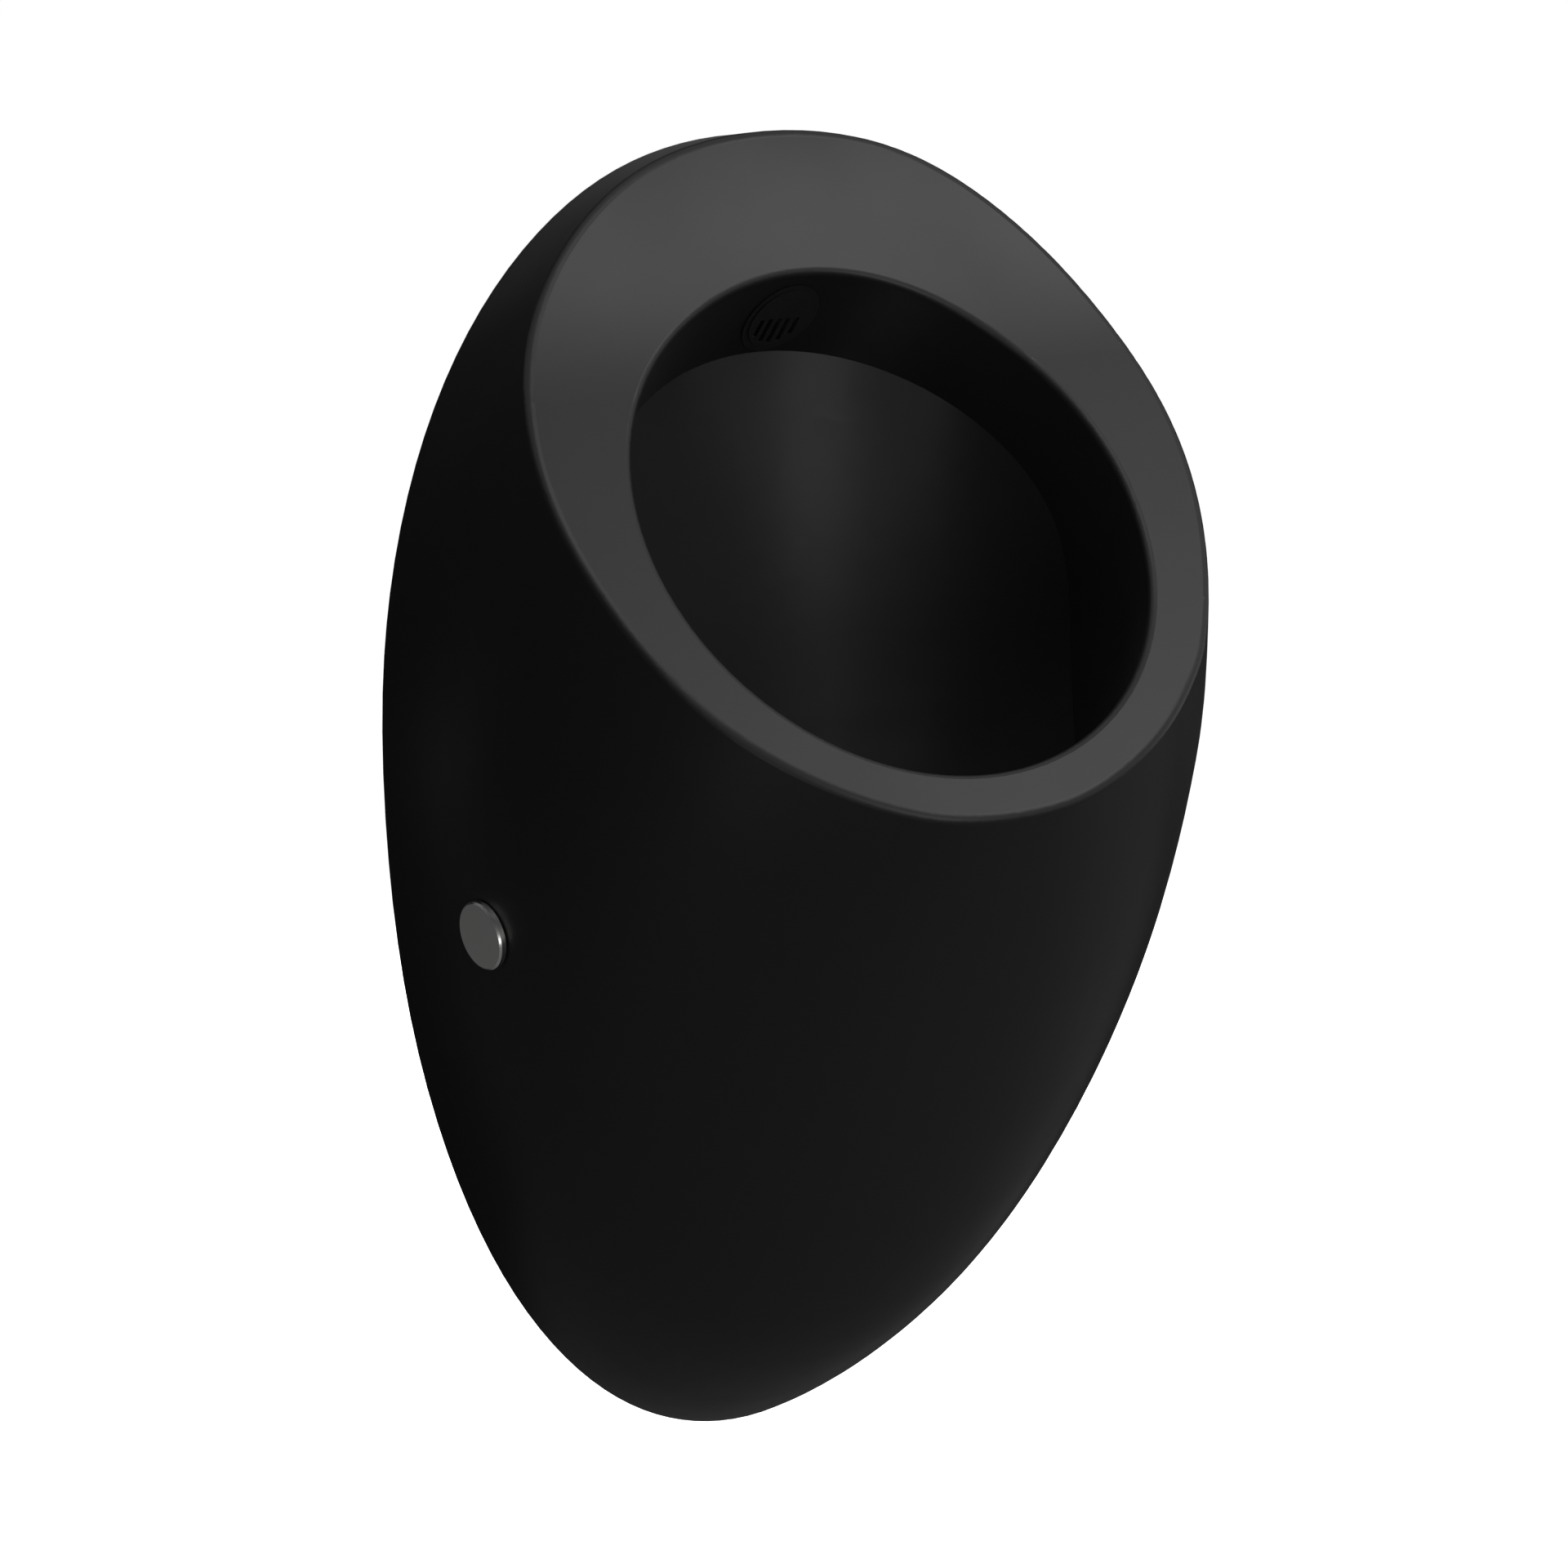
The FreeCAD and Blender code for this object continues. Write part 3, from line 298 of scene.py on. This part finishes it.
# ---- Materials of the studio -------------------------------------------------------------------
def floor_paint(studio):
    """Pale matt floor that shows pure white: the default lift hides the object's shadow."""
    material, tree, shader, _ = surface("studio_floor_pale", studio.floor_colour, roughness=0.9)
    shader.inputs["Specular IOR Level"].default_value = 0.0
    shader.inputs["Emission Color"].default_value = linear("#ffffff")
    lift = add_node(tree, "ShaderNodeMath", {"operation": "MULTIPLY"},
                    {0: background_rays(tree), 1: studio.floor_lift})
    tree.links.new(lift.outputs[0], shader.inputs["Emission Strength"])
    return material


def studio_cloth(name, colour):
    """Matt cloth on the cards that keep white out of the glaze: dull, with a faint nap."""
    material, tree, shader, place = surface(name, colour, roughness=1.0)
    shader.inputs["Specular IOR Level"].default_value = 0.0
    raise_surface(tree, shader, noise(tree, place, size_mm=2.0), depth_mm=0.2)
    return material


# ---- Finding and finishing CAD pieces ----------------------------------------------------------
def paint(material, *nodes):
    """Gives CAD nodes their finish."""
    for node in nodes:
        slots = frame["nodes"][node].data.materials
        slots.clear()
        slots.append(material)


def named_row(rows, name):
    """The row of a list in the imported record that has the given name."""
    for row in rows:
        if row["name"] == name:
            return row
    raise ValueError("the record has nothing called " + name)


def joint_line(name):
    """The point and direction of a joint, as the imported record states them."""
    joint = named_row(frame["record"]["behaviour"]["joints"], name)
    return Vector(joint["pos_m"]), Vector(joint["axis"])


def mount_place(name):
    """The point of a mount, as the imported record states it."""
    return Vector(named_row(frame["record"]["mounts"], name)["pos_m"])


# ---- Settings ----------------------------------------------------------------------------------
class UrinalFinishes(bpy.types.PropertyGroup):
    glaze_colour: StringProperty(
        name="Glaze colour", description="Colour of the china, as sRGB hex", default="#202020")
    glaze_roughness: FloatProperty(
        name="Glaze roughness", description="How soft the glaze's reflections are",
        default=0.34, min=0.0, max=1.0, subtype="FACTOR")
    glaze_gloss: FloatProperty(
        name="Glaze gloss", description="Strength of the glaze's reflections",
        default=0.14, min=0.0, max=1.0, subtype="FACTOR")
    cap_colour: StringProperty(
        name="Cap colour", description="Colour of the cover caps, as sRGB hex", default="#e0e0de")


class UrinalStudio(bpy.types.PropertyGroup):
    camera_azimuth: FloatProperty(
        name="Camera azimuth", description="Where the camera stands, 0 in front of the urinal",
        default=math.radians(-27.15), subtype="ANGLE")
    camera_elevation: FloatProperty(
        name="Camera elevation", description="How far the camera looks down",
        default=math.radians(14.43), subtype="ANGLE")
    camera_distance: FloatProperty(
        name="Camera distance", description="From the camera to what it looks at",
        default=2.446, min=0.5, subtype="DISTANCE", unit="LENGTH")
    camera_target: FloatVectorProperty(
        name="Camera target", description="What the camera and the lamps point at",
        default=(0.0, -0.0481, 0.3123), subtype="TRANSLATION", unit="LENGTH")
    floor_drop: FloatProperty(
        name="Height above the floor", description="From the floor up to the foot of the china",
        default=0.305, min=0.0, subtype="DISTANCE", unit="LENGTH")
    floor_colour: StringProperty(
        name="Floor colour", description="Colour of the floor, as sRGB hex", default="#e8e8e6")
    floor_lift: FloatProperty(
        name="Floor lift", description="How much whiter the floor shows than it is lit",
        default=0.96, min=0.0, max=1.0)
    key_power: FloatProperty(
        name="Key lamp", description="Power of the large lamp in front, high on the right",
        default=28.0, min=0.0, subtype="POWER")
    top_power: FloatProperty(
        name="Top lamp", description="Power of the lamp overhead, which reaches into the bowl",
        default=9.0, min=0.0, subtype="POWER")
    fill_power: FloatProperty(
        name="Fill lamp", description="Power of the lamp in front, which the bowl mirrors",
        default=9.0, min=0.0, subtype="POWER")
    cap_power: FloatProperty(
        name="Cap lamp", description="Power of the small lamp that the left cap's bevel mirrors",
        default=1.2, min=0.0, subtype="POWER")
    back_power: FloatProperty(
        name="Back lamp", description="Power of the lamp behind, which lights the open back",
        default=22.0, min=0.0, subtype="POWER")
    lower_card_colour: StringProperty(
        name="Lower card", description="Colour of the card that the underside mirrors, as sRGB hex",
        default="#848484")
    left_card_colour: StringProperty(
        name="Left card", description="Colour of the card that the left flank mirrors, as sRGB hex",
        default="#404040")
    far_card_colour: StringProperty(
        name="Far card", description="Colour of the card behind the china's edges, as sRGB hex",
        default="#303030")
    ambient: FloatProperty(
        name="Ambient level", description="Light from all round the studio",
        default=0.05, min=0.0, max=1.0, subtype="FACTOR")


# ---- Operators of the urinal -------------------------------------------------------------------
class URINAL_OT_china(bpy.types.Operator):
    """Glazes the china"""
    bl_idname = "urinal.china"
    bl_label = "Glaze the china"

    def execute(self, context):
        paint(vitreous_china_glazed_black(context.scene.urinal_finishes), "ceramic_body")
        return {"FINISHED"}


class URINAL_OT_caps(bpy.types.Operator):
    """Finishes the two cover caps"""
    bl_idname = "urinal.caps"
    bl_label = "Finish the cover caps"

    def execute(self, context):
        for side in SIDES:
            point, axis = joint_line("side_cap_" + side + "_pull")
            material = brass_satin_plated("brass_satin_plated_cap_" + side,
                                          context.scene.urinal_finishes.cap_colour, point, axis)
            paint(material, "side_cap_" + side)
        return {"FINISHED"}


class URINAL_OT_waste(bpy.types.Operator):
    """Finishes the strainer, the waste tail and its nut, and the spreader nozzle"""
    bl_idname = "urinal.waste"
    bl_label = "Finish the waste fitting and the nozzle"

    def execute(self, context):
        point, _ = joint_line("strainer_lift")
        paint(stainless_steel_brushed(point), "strainer", "waste_tail")
        paint(abs_moulded_black(), "waste_nut", "spreader_nozzle")
        return {"FINISHED"}


class URINAL_OT_trap(bpy.types.Operator):
    """Finishes the bottle trap, its dip tube, the outlet pipe and the bushes of the side screws"""
    bl_idname = "urinal.trap"
    bl_label = "Finish the trap, the outlet and the bushes"

    def execute(self, context):
        paint(polypropylene_moulded_white(), "trap_body", "dip_tube", "outlet_pipe", "side_bushes")
        return {"FINISHED"}


class URINAL_OT_inlet(bpy.types.Operator):
    """Finishes the water inlet"""
    bl_idname = "urinal.inlet"
    bl_label = "Finish the water inlet"

    def execute(self, context):
        paint(brass_nickel_plated(mount_place("water_inlet")), "inlet_connector")
        return {"FINISHED"}


class URINAL_OT_seals(bpy.types.Operator):
    """Finishes the rubber gaskets and seals"""
    bl_idname = "urinal.seals"
    bl_label = "Finish the seals"

    def execute(self, context):
        paint(rubber_moulded(), "waste_top_gasket", "waste_bottom_gasket", "trap_seal",
              "outlet_seal", "inlet_seal", "spreader_seal")
        return {"FINISHED"}


class URINAL_OT_side_fixings(bpy.types.Operator):
    """Finishes the side anchors with their screws, studs, washers and nuts"""
    bl_idname = "urinal.side_fixings"
    bl_label = "Finish the side fixings"

    def execute(self, context):
        thread_start = mount_place("wall_face") - STUD_THREAD_LEAD * INTO_WALL
        paint(zinc_alloy_die_cast(), "side_anchor_left", "side_anchor_right")
        paint(steel_zinc_plated(), "stud_washers", "stud_nuts", "side_screws")
        paint(steel_thread_rolled("steel_stud_thread_rolled", thread_start, STUD_PITCH),
              "side_studs")
        return {"FINISHED"}


class URINAL_OT_hooks(bpy.types.Operator):
    """Finishes the hanging hooks, their linings and screws, and all wall plugs"""
    bl_idname = "urinal.hooks"
    bl_label = "Finish the hanging hooks"

    def execute(self, context):
        paint(steel_sheet_zinc_plated(), "hanging_hook_left", "hanging_hook_right")
        paint(steel_thread_rolled("steel_screw_thread_rolled", mount_place("wall_face"),
                                  HOOK_SCREW_PITCH), "hook_screws")
        paint(nylon_moulded_grey(), "hook_liners", "hook_plugs", "stud_plugs")
        return {"FINISHED"}


# ---- The studio --------------------------------------------------------------------------------
def look(azimuth, elevation, distance, target):
    """Matrix of something that looks at the target from the given direction."""
    back = Vector((math.sin(azimuth) * math.cos(elevation),
                   -math.cos(azimuth) * math.cos(elevation), math.sin(elevation)))
    turn = back.to_track_quat("Z", "Y").to_matrix().to_4x4()
    return Matrix.Translation(Vector(target) + back * distance) @ turn


def add_to_stage(name, data, matrix):
    """Puts a camera, a lamp or a sheet into the scene."""
    thing = bpy.data.objects.new(name, data)
    bpy.context.scene.collection.objects.link(thing)
    thing.matrix_world = matrix
    return thing


def sheet(name, half_x, half_y, material):
    """A flat rectangular mesh about the origin, sized along its own X and Y."""
    mesh = bpy.data.meshes.new(name)
    corners = [(x * half_x, y * half_y, 0.0) for x, y in ((-1, -1), (1, -1), (1, 1), (-1, 1))]
    mesh.from_pydata(corners, [], [(0, 1, 2, 3)])
    mesh.materials.append(material)
    return mesh


def softbox(name, azimuth, elevation, distance, size, power, target):
    """A square lamp that shines at the target, from a direction in degrees."""
    lamp = bpy.data.lights.new(name, "AREA")
    lamp.shape = "SQUARE"
    lamp.size = size
    lamp.energy = power
    lamp_object = add_to_stage(name, lamp, look(math.radians(azimuth), math.radians(elevation),
                                                distance, target))
    lamp_object.visible_camera = False


def hang_card(name, half_x, half_y, colour, matrix):
    """A card for reflections and bounced light: the camera and the lamps' own light pass it."""
    mesh = sheet(name, half_x, half_y, studio_cloth("studio_cloth_" + name, colour))
    card = add_to_stage(name, mesh, matrix)
    card.visible_camera = False
    card.visible_shadow = False


def set_camera(scene, studio):
    """The camera, where the photo's stood and with its focal length."""
    camera = bpy.data.cameras.new("camera")
    camera.sensor_width = SENSOR_WIDTH
    camera.lens = SENSOR_WIDTH * PHOTO_FOCAL_LENGTH / PHOTO_SIZE
    scene.camera = add_to_stage("camera", camera, look(
        studio.camera_azimuth, studio.camera_elevation, studio.camera_distance,
        studio.camera_target))


def lay_floor(studio):
    """The floor, below the wall-hung object."""
    floor = add_to_stage("floor", sheet("floor", FLOOR_HALF_SIZE, FLOOR_HALF_SIZE,
                                        floor_paint(studio)),
                         Matrix.Translation((0, 0, -studio.floor_drop)))


def hang_cards(studio):
    """The cards under, behind and left of the object, with their centres in metres."""
    facing_front = Matrix.Rotation(math.radians(90), 4, "X")
    facing_side = Matrix.Rotation(math.radians(90), 4, "Y")   # its own X then stands upright
    hang_card("card_below", half_x=2.0, half_y=2.0, colour=studio.lower_card_colour,
              matrix=Matrix.Translation((0, 0, -0.25)))
    hang_card("card_behind", half_x=1.35, half_y=0.68, colour=studio.far_card_colour,
              matrix=Matrix.Translation((0.95, 0.35, 0.43)) @ facing_front)
    hang_card("card_left", half_x=0.5, half_y=1.25, colour=studio.left_card_colour,
              matrix=Matrix.Translation((-0.9, 0.35, 0.56)) @ facing_side)


def hang_lamps(studio):
    """The lamps. The rim mirrors the key lamp, and the left cap's bevel the cap lamp."""
    target = studio.camera_target
    softbox("key", azimuth=42, elevation=46, distance=2.4, size=1.2,
            power=studio.key_power, target=target)
    softbox("top", azimuth=-22, elevation=67, distance=1.8, size=0.9,
            power=studio.top_power, target=target)
    softbox("fill", azimuth=4, elevation=5, distance=2.2, size=1.0,
            power=studio.fill_power, target=target)
    softbox("cap", azimuth=-43, elevation=-18, distance=1.4, size=0.45,
            power=studio.cap_power, target=target)
    softbox("back", azimuth=160, elevation=2, distance=2.0, size=1.0,
            power=studio.back_power, target=target)


def set_world(scene, studio):
    """A world that shows white as the background and lights the object at the ambient level."""
    world = bpy.data.worlds.new("studio")
    scene.world = world
    world.use_nodes = True
    tree = world.node_tree
    tree.nodes.clear()
    level = add_node(tree, "ShaderNodeMath", {"operation": "MAXIMUM"}, {
        0: background_rays(tree), 1: studio.ambient})
    light = add_node(tree, "ShaderNodeBackground", inputs={
        "Color": linear("#ffffff"), "Strength": level.outputs[0]})
    add_node(tree, "ShaderNodeOutputWorld", inputs={"Surface": light.outputs[0]})


class URINAL_OT_stage(bpy.types.Operator):
    """Sets the camera, the floor, the cards, the lamps and the world"""
    bl_idname = "urinal.stage"
    bl_label = "Set the stage"

    def execute(self, context):
        scene = context.scene
        studio = scene.urinal_studio
        scene.view_settings.view_transform = "Standard"
        set_camera(scene, studio)
        lay_floor(studio)
        hang_cards(studio)
        hang_lamps(studio)
        set_world(scene, studio)
        return {"FINISHED"}


OPERATORS = (URINAL_OT_china, URINAL_OT_caps, URINAL_OT_waste, URINAL_OT_trap, URINAL_OT_inlet,
             URINAL_OT_seals, URINAL_OT_side_fixings, URINAL_OT_hooks, URINAL_OT_stage)


# ---- Panel and start ---------------------------------------------------------------------------
class URINAL_PT_sidebar(bpy.types.Panel):
    """Sizes, colours and steps of the urinal"""
    bl_idname = "URINAL_PT_sidebar"
    bl_label = "Urinal"
    bl_space_type = "VIEW_3D"
    bl_region_type = "UI"
    bl_category = "Urinal"

    def draw(self, context):
        for group in (context.scene.urinal_finishes, context.scene.urinal_studio):
            for name in group.bl_rna.properties.keys():
                if name not in ("rna_type", "name"):
                    self.layout.prop(group, name)
        for operator in OPERATORS:
            self.layout.operator(operator.bl_idname)


CLASSES = (UrinalFinishes, UrinalStudio) + OPERATORS + (URINAL_PT_sidebar,)


def register():
    for cls in CLASSES:
        bpy.utils.register_class(cls)
    bpy.types.Scene.urinal_finishes = PointerProperty(type=UrinalFinishes)
    bpy.types.Scene.urinal_studio = PointerProperty(type=UrinalStudio)


def unregister():
    del bpy.types.Scene.urinal_studio
    del bpy.types.Scene.urinal_finishes
    for cls in reversed(CLASSES):
        bpy.utils.unregister_class(cls)


def main():
    register()
    for operator in OPERATORS:
        group, name = operator.bl_idname.split(".")
        getattr(getattr(bpy.ops, group), name)()


if __name__ == "__main__":
    main()
